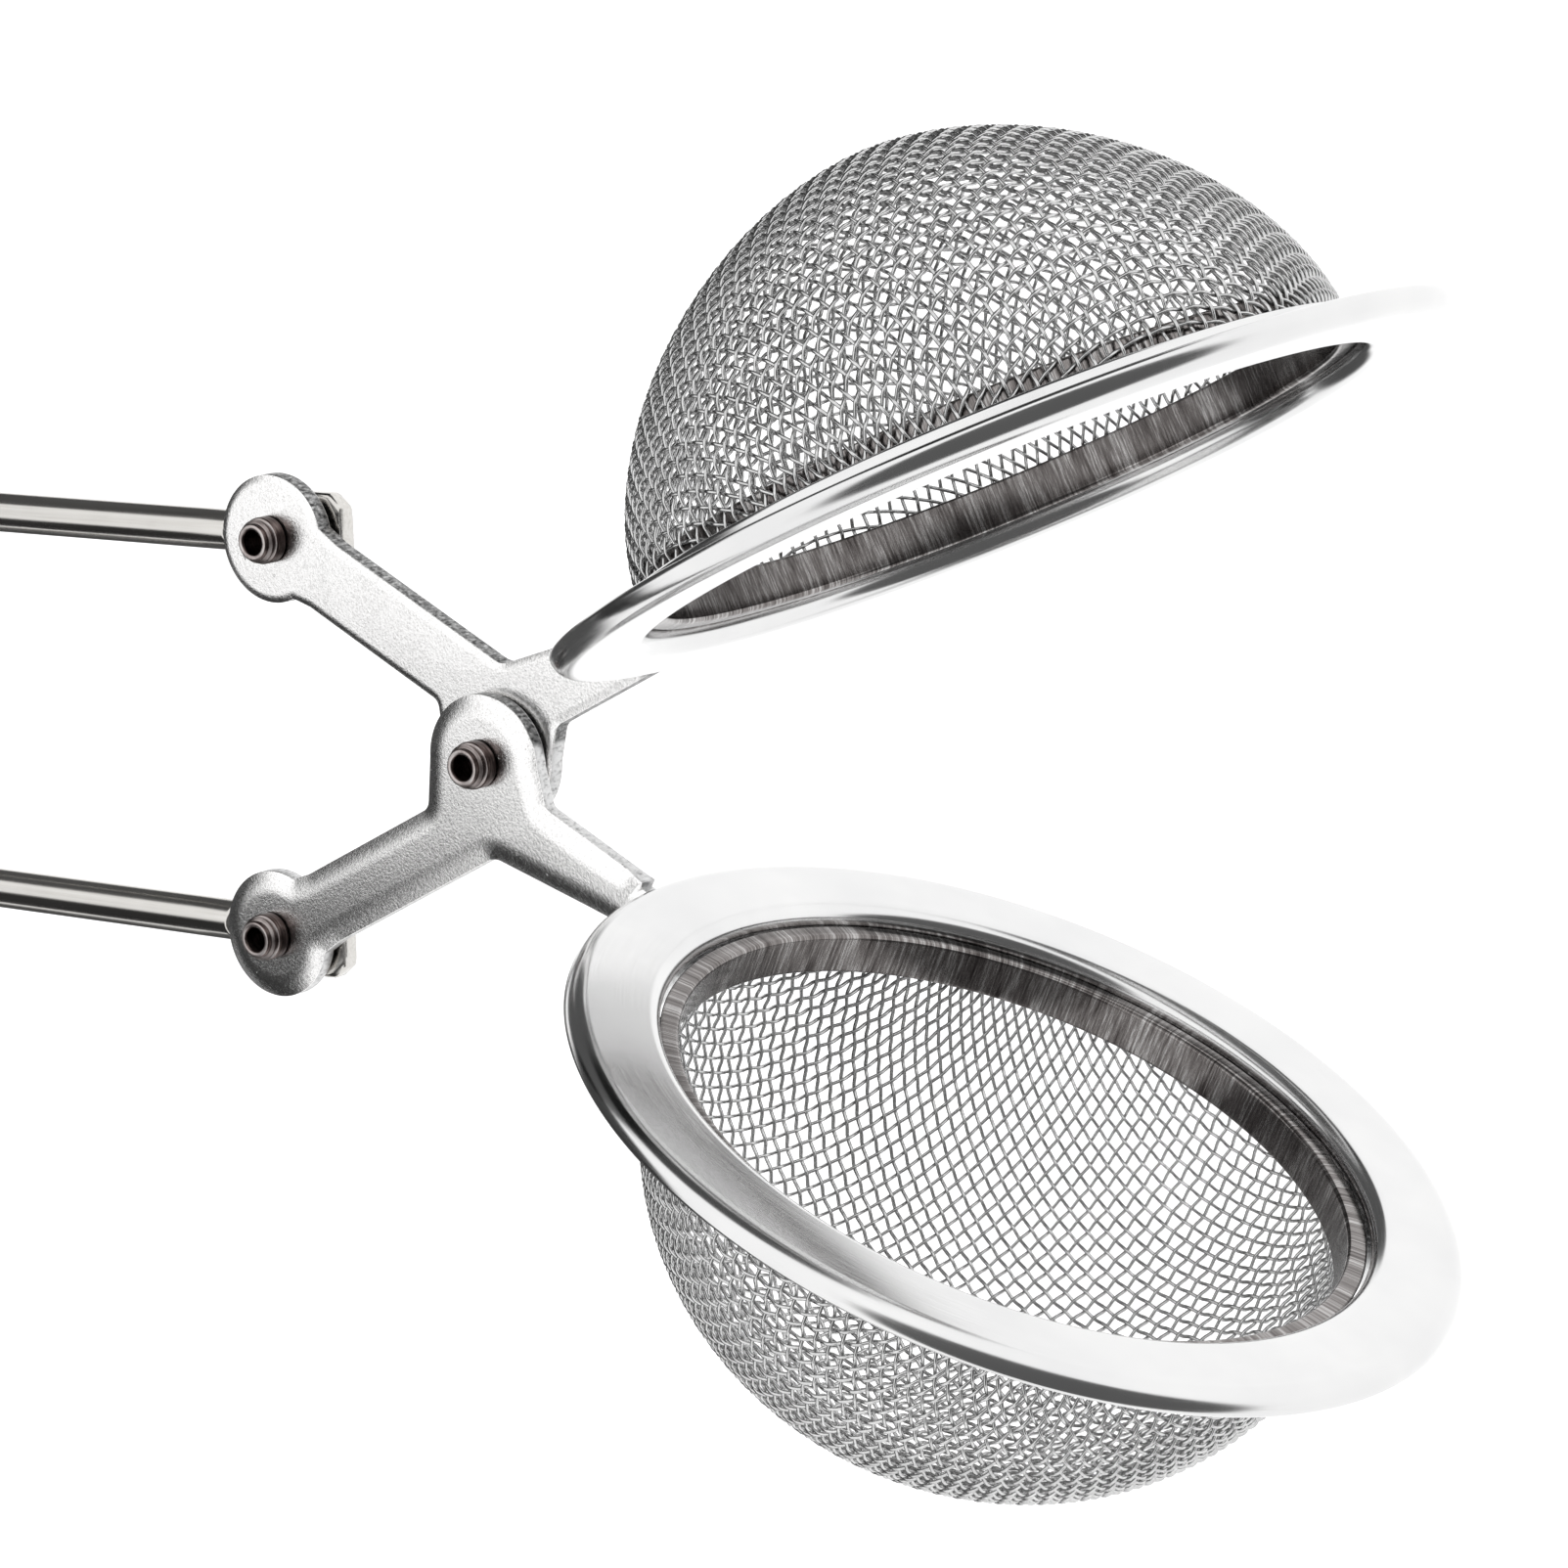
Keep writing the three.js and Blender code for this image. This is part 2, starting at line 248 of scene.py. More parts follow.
def turn_open(side):
    """The turn from a closed half's frame to where the half rests."""
    return Matrix.Rotation(-side * OPEN_ANGLE, 3, "Y")


# ---------------------------------------------------------------- metals
def drawn_wire_steel():
    """Drawn spring wire: fine streaks along the rods and a slight warm cast."""
    made, tree, shader = new_material("drawn_wire_steel")
    at = place_vector(tree)
    streak = noise(tree, stretched(tree, at, (90, 5200, 5200)), 1.0, 4.0)
    cloud = noise(tree, at, 160, 3.0)
    tone = share_of(tree, 0.6, streak, cloud)
    colour = ramp(tree, tone, [(0.3, (0.50, 0.485, 0.46)), (0.5, (0.60, 0.585, 0.56)),
                               (0.7, (0.66, 0.65, 0.63))])
    tree.links.new(colour, shader.inputs["Base Color"])
    tree.links.new(spread(tree, streak, 0.2, 0.8, 0.12, 0.22), shader.inputs["Roughness"])
    tree.links.new(bump(tree, streak, 0.003 * MM), shader.inputs["Normal"])
    return made


def stamped_steel():
    """Faces of the stamped links: satin, with fine tumbled grain, soft clouds and faint rubs."""
    made, tree, shader = new_material("stamped_steel")
    at = place_vector(tree)
    grain = noise(tree, at, 5600, 3.0, 0.75)
    cloud = noise(tree, at, 210, 4.0)
    rub = noise(tree, stretched(tree, at, (700, 2600, 2600), (0, 0.5, 0)), 1.0, 3.0)
    pits = spread(tree, noise(tree, at, 1500, 2.0, 0.5), 0.735, 0.76)
    tone = share_of(tree, 0.8, grain, cloud)
    colour = ramp(tree, tone, [(0.36, (0.68, 0.675, 0.67)), (0.5, (0.885, 0.88, 0.875)),
                               (0.64, (0.96, 0.955, 0.95))])
    tree.links.new(colour, shader.inputs["Base Color"])
    rough = math_node(tree, "ADD", spread(tree, grain, 0.3, 0.7, 0.14, 0.21),
                      math_node(tree, "MULTIPLY", rub, 0.05))
    tree.links.new(rough, shader.inputs["Roughness"])
    fine = bump(tree, grain, 0.018 * MM)
    tree.links.new(bump(tree, pits, -0.03 * MM, fine), shader.inputs["Normal"])
    return made


def sheared_steel_and_shade():
    """Edges that a punch has sheared, with a torn speckle: painted shade darkens them above the pivot's
    middle, and a painted lighter tone brightens them below it.
    """
    made, tree, shader = new_material("sheared_steel_and_shade")
    at = place_vector(tree)
    torn = noise(tree, stretched(tree, at, (4200, 2100, 4200)), 1.0, 5.0, 0.65)
    # painted shade: edges above a ragged line just above the pivot's middle take the dark ramp, and edges
    # below it take the lighter ramp as painted light
    height = put(tree, "ShaderNodeSeparateXYZ", Vector=at).outputs["Z"]
    shade_line = math_node(tree, "ADD", height, math_node(tree, "MULTIPLY", torn, 1.2 * MM))
    share = spread(tree, shade_line, 1.9 * MM, 2.1 * MM)
    dark = ramp(tree, torn, [(0.36, 0.04), (0.5, 0.21), (0.6, 0.38), (0.7, 0.62)])
    light = ramp(tree, torn, [(0.30, 0.16), (0.38, 0.46), (0.5, 0.66), (0.7, 0.72)])
    tree.links.new(colour_mix(tree, share, light, dark), shader.inputs["Base Color"])
    tree.links.new(spread(tree, torn, 0.3, 0.7, 0.5, 0.3), shader.inputs["Roughness"])
    tree.links.new(bump(tree, torn, 0.05 * MM), shader.inputs["Normal"])
    return made


def polished_rim_steel(side):
    """Polished pressed rim: faint marks round the rim, soft clouding and hairline scratches."""
    made, tree, shader = new_material(f"polished_rim_steel_{'upper' if side > 0 else 'lower'}")
    radius, way, depth = polar(tree, side)
    rings = put(tree, "ShaderNodeCombineXYZ", X=math_node(tree, "MULTIPLY", radius, 9000.0))
    tree.links.new(math_node(tree, "MULTIPLY", way, 5.0), rings.inputs["Y"])
    tree.links.new(math_node(tree, "MULTIPLY", depth, 9000.0), rings.inputs["Z"])
    marks = noise(tree, rings.outputs[0], 1.0, 2.0)
    at = place_vector(tree)
    cloud = noise(tree, at, 120, 3.0)
    hair = noise(tree, stretched(tree, at, (300, 6000, 900), (0, 0, 0.7)), 1.0, 2.0)
    colour = ramp(tree, cloud, [(0.3, (0.67, 0.67, 0.672)), (0.7, (0.73, 0.729, 0.727))])
    tree.links.new(colour, shader.inputs["Base Color"])
    rough = math_node(tree, "ADD", spread(tree, marks, 0.2, 0.8, 0.10, 0.19),
                      math_node(tree, "MULTIPLY", hair, 0.05))
    tree.links.new(rough, shader.inputs["Roughness"])
    tree.links.new(bump(tree, marks, 0.0012 * MM), shader.inputs["Normal"])
    return made


def band_steel_and_shade(side):
    """The clamp band: steel darkened by painted shade, for the shade inside the rim, with dark and light
    streaks across its height.
    """
    made, tree, shader = new_material(f"band_steel_and_shade_{'upper' if side > 0 else 'lower'}")
    _, way, depth = polar(tree, side)
    streaks = put(tree, "ShaderNodeCombineXYZ", X=math_node(tree, "MULTIPLY", way, 115.0))
    tree.links.new(math_node(tree, "MULTIPLY", depth, 330.0), streaks.inputs["Y"])
    fine = noise(tree, streaks.outputs[0], 1.0, 5.0, 0.7)
    broad = noise(tree, streaks.outputs[0], 0.11, 2.0)
    tone = share_of(tree, 0.65, fine, broad)
    # painted shade: this ramp sits far darker than the other steel, standing in for the shade inside the rim
    colour = ramp(tree, tone, [(0.38, (0.06, 0.052, 0.05)), (0.5, (0.20, 0.185, 0.18)),
                               (0.64, (0.55, 0.54, 0.535))])
    tree.links.new(colour, shader.inputs["Base Color"])
    tree.links.new(spread(tree, fine, 0.25, 0.75, 0.08, 0.17), shader.inputs["Roughness"])
    tree.links.new(bump(tree, fine, 0.012 * MM), shader.inputs["Normal"])
    return made


def cloth_steel():
    """Woven wire: drawn steel, unevenly dulled."""
    made, tree, shader = new_material("cloth_steel")
    at = place_vector(tree)
    grain = noise(tree, at, 3800, 3.0)
    cloud = noise(tree, at, 260, 3.0)
    tone = share_of(tree, 0.55, grain, cloud)
    colour = ramp(tree, tone, [(0.3, 0.46), (0.5, 0.58), (0.7, 0.70)])
    tree.links.new(colour, shader.inputs["Base Color"])
    tree.links.new(spread(tree, grain, 0.25, 0.75, 0.12, 0.22), shader.inputs["Roughness"])
    tree.links.new(bump(tree, grain, 0.006 * MM), shader.inputs["Normal"])
    return made


def rivet_steel():
    """Hollow rivets: brownish, heat-tinted metal with turned rings, worn pale on the faces in front."""
    made, tree, shader = new_material("rivet_steel")
    at = place_vector(tree)
    rings = noise(tree, stretched(tree, at, (900, 9000, 900)), 1.0, 3.0)
    cloud = noise(tree, at, 900, 4.0)
    tone = share_of(tree, 0.5, rings, cloud)
    tinted = ramp(tree, tone, [(0.32, (0.02, 0.014, 0.013)), (0.5, (0.085, 0.061, 0.056)),
                               (0.68, (0.30, 0.245, 0.23))])
    worn = ramp(tree, tone, [(0.34, (0.20, 0.165, 0.16)), (0.5, (0.55, 0.50, 0.485)),
                             (0.66, (0.74, 0.71, 0.70))])
    facing = put(tree, "ShaderNodeSeparateXYZ", Vector=tree.nodes.new("ShaderNodeTexCoord").outputs["Normal"])
    front = spread(tree, facing.outputs["Y"], -0.75, -0.97)
    tree.links.new(colour_mix(tree, front, tinted, worn), shader.inputs["Base Color"])
    tree.links.new(spread(tree, cloud, 0.3, 0.7, 0.26, 0.46), shader.inputs["Roughness"])
    tree.links.new(bump(tree, rings, 0.012 * MM), shader.inputs["Normal"])
    return made


# ---------------------------------------------------------------- mesh helpers
def mesh_object(name, verts, faces, material):
    """A smooth-shaded mesh in the scene."""
    mesh = bpy.data.meshes.new(name)
    mesh.from_pydata([tuple(v) for v in verts], [], faces)
    mesh.materials.append(material)
    mesh.polygons.foreach_set("use_smooth", [True] * len(mesh.polygons))
    mesh.update()
    made = bpy.data.objects.new(name, mesh)
    bpy.context.scene.collection.objects.link(made)
    return made


def finish_piece(piece, body, slot, *nodes):
    """Ties a piece to its body and hides the CAD nodes that it replaces; slot is not used."""
    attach(piece, body)
    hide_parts(*nodes)


def outward(piece):
    """Turns every face of a closed mesh outward."""
    build = bmesh.new()
    build.from_mesh(piece.data)
    bmesh.ops.recalc_face_normals(build, faces=build.faces)
    build.to_mesh(piece.data)
    build.free()


def sharpen(piece, degrees):
    """Keeps edges that turn by more than this from being shaded smooth."""
    piece.data.set_sharp_from_angle(angle=math.radians(degrees))


def cut_out(piece, cutters):
    """Cuts closed meshes out of a piece."""
    for cutter in cutters:
        modifier = piece.modifiers.new("cut", "BOOLEAN")
        modifier.operation = "DIFFERENCE"
        modifier.solver = "EXACT"
        modifier.object = cutter
    depsgraph = bpy.context.evaluated_depsgraph_get()
    result = bpy.data.meshes.new_from_object(piece.evaluated_get(depsgraph))
    piece.modifiers.clear()
    piece.data = result
    for cutter in cutters:
        bpy.data.objects.remove(cutter)


def drill(radius, x, z):
    """A long round cutter along Y."""
    sides = 96
    reach = 8 * MM
    ring = [(radius * math.cos(2 * math.pi * k / sides), radius * math.sin(2 * math.pi * k / sides))
            for k in range(sides)]
    verts = [(x + a, y, z + b) for y in (-reach, reach) for a, b in ring]
    faces = [(k, (k + 1) % sides, sides + (k + 1) % sides, sides + k) for k in range(sides)]
    faces += [tuple(range(sides)), tuple(range(2 * sides - 1, sides - 1, -1))]
    cutter = mesh_object("cutter", verts, faces, bpy.data.materials.new("cutter"))
    outward(cutter)
    return cutter


# a box's faces, for corners that are listed by x, then y, then z
BOX_SIDES = [(0, 1, 3, 2), (4, 6, 7, 5), (0, 4, 5, 1), (2, 3, 7, 6), (0, 2, 6, 4), (1, 5, 7, 3)]


def arc(cx, cy, r, start, end, steps):
    """Points round an arc, in degrees."""
    return [(cx + r * math.cos(math.radians(start + (end - start) * i / steps)),
             cy + r * math.sin(math.radians(start + (end - start) * i / steps))) for i in range(steps + 1)]


def lathe(profile, segments):
    """Verts and faces of a closed (radius, height) profile turned about Z."""
    rows = len(profile)
    verts = []
    for s in range(segments):
        a = 2 * math.pi * s / segments
        verts += [(r * math.cos(a), r * math.sin(a), h) for r, h in profile]
    faces = []
    for s in range(segments):
        here = s * rows
        there = ((s + 1) % segments) * rows
        for i in range(rows):
            j = (i + 1) % rows
            faces.append((here + i, there + i, there + j, here + j))
    return np.array(verts), faces


def placed(points, side):
    """Moves points made about a bowl's own axis, dome up, to their place on one open half."""
    p = np.array(points, float)
    c, s = math.cos(OPEN_ANGLE), math.sin(OPEN_ANGLE)
    u = p[:, 0] + RIM_AXIS
    x = u * c - p[:, 2] * s + PIVOT_X
    z = side * (u * s + p[:, 2] * c)
    return np.stack([x, p[:, 1], z], 1)


def unique_profile(profile):
    """A closed profile without points that repeat the one before them."""
    kept = []
    for point in profile:
        if not kept or math.dist(point, kept[-1]) > 1e-7:
            kept.append(point)
    if math.dist(kept[0], kept[-1]) < 1e-7:
        kept.pop()
    return kept


# ---------------------------------------------------------------- handle
def paddle_mid(side):
    """The Y of one rod's middle, which lies behind its link plate."""
    return PLATE_FRONT[side] + PLATE_T + LAYER_GAP + PADDLE_T / 2


def mix(a, b, t):
    """The number a share t of the way from a to b."""
    return a + (b - a) * t


def ease(t):
    """A soft step from 0 to 1."""
    return t * t * (3 - 2 * t)


def arm_stations(side):
    """Sections of one rod from the bow to the paddle's end: x, share flattened, half height."""
    # the straight rod, then the change into the paddle, then the paddle and its rounded tip
    stations = [(x * MM, 0.0, WIRE_R) for x in (16, 24, 34, 44, 54, 64, 72)]
    steps = 24
    for i in range(steps + 1):
        back = mix(THIN_FROM, WIDE_TO, i / steps)
        flat = ease(min((THIN_FROM - back) / (THIN_FROM - THIN_TO), 1))
        wide = ease(max((WIDE_FROM - back) / (WIDE_FROM - WIDE_TO), 0))
        stations.append((EYE_X - back, flat, mix(WIRE_R, PADDLE_HALF, wide)))
    tip = ((0.0, 2.98), (2.6, 2.98), (3.6, 2.96), (3.85, 2.86), (4.35, 2.42), (4.6, 2.2), (4.68, 2.08))
    for ahead, half in tip:
        stations.append((EYE_X + ahead * MM, 1.0, half * MM))
    return [(Vector((x, paddle_mid(side), side * BOW_R)), Vector((side, 0, 0)), flat, half)
            for x, flat, half in stations]


def handle(material):
    """One spring wire: lower paddle, lower rod, bow, upper rod, upper paddle."""
    bow_y = (paddle_mid(1) + paddle_mid(-1)) / 2
    lean = (paddle_mid(1) - paddle_mid(-1)) / 2
    bow = []
    steps = 96
    for i in range(steps + 1):
        a = math.pi * (i / steps - 0.5)
        at = Vector((BOW_R * (1 - math.cos(a)), bow_y + lean * math.sin(a), BOW_R * math.sin(a)))
        along = Vector((math.sin(a), lean * math.cos(a) / BOW_R, math.cos(a))).normalized()
        bow.append((at, along, 0.0, WIRE_R))
    stations = arm_stations(-1)[::-1] + bow + arm_stations(1)
    verts = []
    for index, (at, along, flat, half) in enumerate(stations):
        across = Vector((0, 1, 0))
        across = (across - along * across.dot(along)).normalized()
        up = along.cross(across)
        power = 2 / mix(2, 6, flat)
        thin = mix(WIRE_R, PADDLE_T / 2, flat)
        if index in (0, len(stations) - 1):
            thin *= PADDLE_END
        for k in range(WIRE_SIDES):
            a = 2 * math.pi * (k + 0.5) / WIRE_SIDES
            c = math.copysign(abs(math.cos(a)) ** power, math.cos(a))
            s = math.copysign(abs(math.sin(a)) ** power, math.sin(a))
            verts.append(at + across * thin * c + up * half * s)
    faces = []
    for i in range(len(stations) - 1):
        for k in range(WIRE_SIDES):
            a = i * WIRE_SIDES + k
            b = i * WIRE_SIDES + (k + 1) % WIRE_SIDES
            faces.append((a, b, b + WIRE_SIDES, a + WIRE_SIDES))
    last = (len(stations) - 1) * WIRE_SIDES
    faces.append(tuple(range(WIRE_SIDES - 1, -1, -1)))
    faces.append(tuple(range(last, last + WIRE_SIDES)))
    piece = mesh_object("spring_handle", verts, faces, material)
    outward(piece)
    cut_out(piece, [drill(HOLE_R, EYE_X, side * BOW_R) for side in (-1, 1)])
    sharpen(piece, 40)
    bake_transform(piece)
    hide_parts("lower_spring_arm", "upper_spring_arm")


# ---------------------------------------------------------------- link plates
def swung(u, w):
    """A point given in the closed half's own frame, swung open to where the half rests."""
    c, s = math.cos(OPEN_ANGLE), math.sin(OPEN_ANGLE)
    return (u * c - w * s) * MM, (u * s + w * c) * MM


def rounded(corners):
    """Rounds each corner that carries a radius, as (x, z, radius)."""
    steps = 10
    out = []
    for i, (x, z, r) in enumerate(corners):
        if not r:
            out.append((x, z))
            continue
        here = Vector((x, z))
        before = (Vector(corners[i - 1][:2]) - here).normalized()
        after = (Vector(corners[(i + 1) % len(corners)][:2]) - here).normalized()
        reach = r / math.tan(before.angle(after) / 2)
        p0, p1 = here + before * reach, here + after * reach
        for k in range(steps + 1):
            t = k / steps
            out.append(tuple(p0 * (1 - t) ** 2 + here * 2 * t * (1 - t) + p1 * t * t))
    return out


def link_outline():
    """The upper link plate about the centre pivot, in X and Z."""
    eye = (-EYE_BACK, BOW_R)

    def on_edge(x, sign):
        """The point at x mm on the arm's upper (1) or lower (-1) edge."""
        off_x, off_z = math.sin(ARM_ANGLE) * ARM_HALF, math.cos(ARM_ANGLE) * ARM_HALF
        s = (x * MM - eye[0] - sign * off_x) / math.cos(ARM_ANGLE)
        return x * MM, eye[1] + sign * off_z - s * math.sin(ARM_ANGLE)

    bite = math.degrees(math.asin(ARM_HALF / EYE_R))
    lean = math.degrees(ARM_ANGLE)
    # round the centre's ear, out along the arm, round the eye, back, and out to the tongue
    corners = [(x, z, 0) for x, z in arc(0, 0, EAR_R, 0, -180, 60)]
    corners.append((*on_edge(-4.75, -1), 0.9 * MM))
    corners.append((*on_edge(-15.4, -1), 0))
    corners += [(x, z, 0) for x, z in arc(*eye, EYE_R, -lean - bite - 4, -360 - lean + bite + 4, 90)]
    corners.append((*on_edge(-12.9, 1), 0))
    corners.append((*on_edge(0.6, 1), 1.4 * MM))
    tongue = ((14.4, 3.9, 0), (19.4, 3.0, 0.4), (19.4, 1.0, 0),
              (14.4, 1.0, 0), (14.4, 0.5, 0), (5.6, 0.2, 0.9))
    corners += [(*swung(u, w), r * MM) for u, w, r in tongue]
    return rounded(corners)


def spaced(points, gap):
    """A closed outline with extra points, so that none of its steps is longer than gap."""
    out = []
    for i, point in enumerate(points):
        here, there = Vector(point), Vector(points[(i + 1) % len(points)])
        count = max(1, math.ceil((there - here).length / gap))
        out += [here.lerp(there, k / count) for k in range(count)]
    return np.array(out)


def inward(outline):
    """For each point of a closed outline, the way in and the room before it meets the far side."""
    along = np.roll(outline, -1, axis=0) - np.roll(outline, 1, axis=0)
    along /= np.linalg.norm(along, axis=1)[:, None]
    x, z = outline.T
    area = np.sum(x * np.roll(z, -1) - np.roll(x, -1) * z)
    way = np.stack([-along[:, 1], along[:, 0]], 1) * math.copysign(1, area)
    gap = outline[None] - outline[:, None]
    ahead = np.einsum("ijk,ik->ij", gap, way)
    reach = np.sum(gap ** 2, axis=2) / (2 * np.where(ahead > 1e-8, ahead, np.inf))
    reach[reach == 0] = np.inf
    return way, reach.min(axis=1)


def edge_section(width, depth):
    """How a plate's edge rounds over, as (distance in, distance back), from the wall inward."""
    section = [(0.0, depth + EDGE_BREAK), (0.3 * EDGE_BREAK, depth + 0.3 * EDGE_BREAK)]
    for t in (0, 0.08, 0.17, 0.27, 0.38, 0.5, 0.63, 0.77, 0.9, 1):
        section.append((mix(EDGE_BREAK, width, t), depth * (1 - t) ** 2))
    return section


# a whole turn in 96 points, as the start, the last point and the steps between them
HOLE_TURN = (0, 356.25, 95)


def hole_loops(side):
    """The eye's and the centre's holes, each as centre x and z and a radius."""
    centre_hole = HOLE_R if side < 0 else OPEN_HOLE_R
    return [(-EYE_BACK, side * BOW_R, HOLE_R), (0, 0, centre_hole)]


def link_plate(side, face, edge):
    """A stamped plate: rounded over in front, sheared round its edge, with drilled holes."""
    half = "upper" if side > 0 else "lower"
    outline = spaced([(x, side * z) for x, z in link_outline()], 0.4 * MM)
    way, room = inward(outline)
    verts, faces, walls, wall_loops = [], [], [], []

    def ring(points, depth):
        """Adds a loop of points at one depth, or one depth each, and gives their numbers."""
        start = len(verts)
        verts.extend((PIVOT_X + x, y, z) for (x, z), y in zip(points, np.broadcast_to(depth, len(points))))
        return list(range(start, len(verts)))

    def join(one, two, into):
        """Quads between two loops."""
        n = len(one)
        into.extend((one[k], one[(k + 1) % n], two[(k + 1) % n], two[k]) for k in range(n))

    front = (PLATE_FRONT[side], 1, FRONT_ROLL[side])
    back_face = (PLATE_FRONT[side] + PLATE_T, -1, BACK_ROLL)
    for surface, inside, roll in (front, back_face):
        share = np.minimum(1, 0.8 * room / roll[0])
        rings = [ring(outline + way * (share * distance)[:, None], surface + inside * back * share)
                 for distance, back in edge_section(*roll)]
        for one, two in zip(rings, rings[1:]):
            join(one, two, faces)
        flat = [rings[-1]]
        edges = [rings[0]]
        for x, z, radius in hole_loops(side):
            chamfer = ring(arc(x, z, radius + HOLE_CHAMFER, *HOLE_TURN), surface)
            bore = ring(arc(x, z, radius, *HOLE_TURN), surface + inside * HOLE_CHAMFER)
            join(chamfer, bore, faces)
            flat.append(chamfer)
            edges.append(bore)
        loops = [[Vector((verts[i][0], verts[i][2], 0)) for i in loop] for loop in flat]
        numbers = [i for loop in flat for i in loop]
        faces.extend(tuple(numbers[i] for i in triangle) for triangle in tessellate_polygon(loops))
        wall_loops.append(edges)
    for one, two in zip(*wall_loops):
        join(one, two, walls)
    piece = mesh_object(f"{half}_link_sheet", verts, faces + walls, face)
    piece.data.materials.append(edge)
    for polygon in piece.data.polygons[len(faces):]:
        polygon.material_index = 1
    outward(piece)
    sharpen(piece, 28)
    finish_piece(piece, f"{half}_jaw", "stamped_plate", f"{half}_link_plate")


# ---------------------------------------------------------------- rims and clamp bands
def rim_profile():
    """A pressed rim's section: the collar, the bend into the face, and the edge rolled to a lip."""
    bend_at = COLLAR_IN + BEND_R
    roll_at = RIM_R - ROLL_R
    profile = arc(bend_at, RIM_FACE + BEND_R, BEND_R, 180, 270, 14)
    profile += arc(roll_at, RIM_FACE + ROLL_R, ROLL_R, 270, 360, 18)
    lip = SHEET_T / 2
    profile += arc(RIM_R - lip, LIP_DEPTH - lip, lip, 0, 180, 10)
    profile += arc(roll_at, RIM_FACE + ROLL_R, ROLL_R - SHEET_T, 0, -90, 10)
    profile += arc(bend_at, RIM_FACE + BEND_R, BEND_R - COLLAR_T, 270, 180, 8)
    foot = COLLAR_T / 2
    profile += arc(COLLAR_IN + foot, COLLAR_DEPTH - foot, foot, 0, 180, 8)
    return unique_profile(profile)


def rim(side, material):
    """One rim, slotted where its link plate's tongue goes through."""
    half = "upper" if side > 0 else "lower"
    verts, faces = lathe(rim_profile(), RIM_SEGMENTS)
    piece = mesh_object(f"{half}_rolled_rim", placed(verts, side), faces, material)
    outward(piece)
    # the slot in the lip for the plate's tongue, with a small gap on each side of it
    gap = 0.08 * MM
    slot_low = (-RIM_R - 0.7 * MM, PLATE_FRONT[side] - gap, RIM_FACE + SHEET_T + 0.02 * MM)
    slot_high = (-RIM_R + 1.9 * MM, PLATE_FRONT[side] + PLATE_T + gap, LIP_DEPTH + 0.6 * MM)
    corners = list(product(*zip(slot_low, slot_high)))
    cutter = mesh_object("cutter", placed(corners, side), BOX_SIDES, bpy.data.materials.new("cutter"))
    outward(cutter)
    cut_out(piece, [cutter])
    sharpen(piece, 35)
    finish_piece(piece, f"{half}_jaw", "polished_rim", f"{half}_rim_flange")


def clamp_band(side, material):
    """The band that holds the cloth's edge inside one rim."""
    half = "upper" if side > 0 else "lower"
    out = CLAMP_IN + CLAMP_T
    brim = 0.35 * MM
    turn = 0.3 * MM
    foot = CLAMP_T / 2
    profile = arc(CLAMP_IN + turn, CLAMP_TOP + turn, turn, 180, 270, 8)
    profile += arc(CLAMP_Y - brim / 2, CLAMP_TOP + brim / 2, brim / 2, 270, 450, 8)
    profile += [(out, CLAMP_TOP + brim)]
    profile += arc(CLAMP_IN + foot, CLAMP_DEPTH - foot, foot, 0, 180, 8)
    verts, faces = lathe(unique_profile(profile), RIM_SEGMENTS)
    piece = mesh_object(f"{half}_clamp_band", placed(verts, side), faces, material)
    outward(piece)
    sharpen(piece, 50)
    finish_piece(piece, f"{half}_jaw", "clamp_band", f"{half}_clamp_ring")


# ---------------------------------------------------------------- woven bowls
# how far a wire weaves off the cloth's middle, and how far that middle lies inside the CAD bowl
CLOTH_LIFT = CLOTH_WIRE_R * 1.02
CLOTH_INSET = CLOTH_LIFT + CLOTH_WIRE_R + 0.04 * MM
CLOTH_MID = MESH_OUT - CLOTH_INSET
# a wire's sides, and its steps from one crossing to the next
CLOTH_SIDES = 5
CLOTH_STEPS = 4


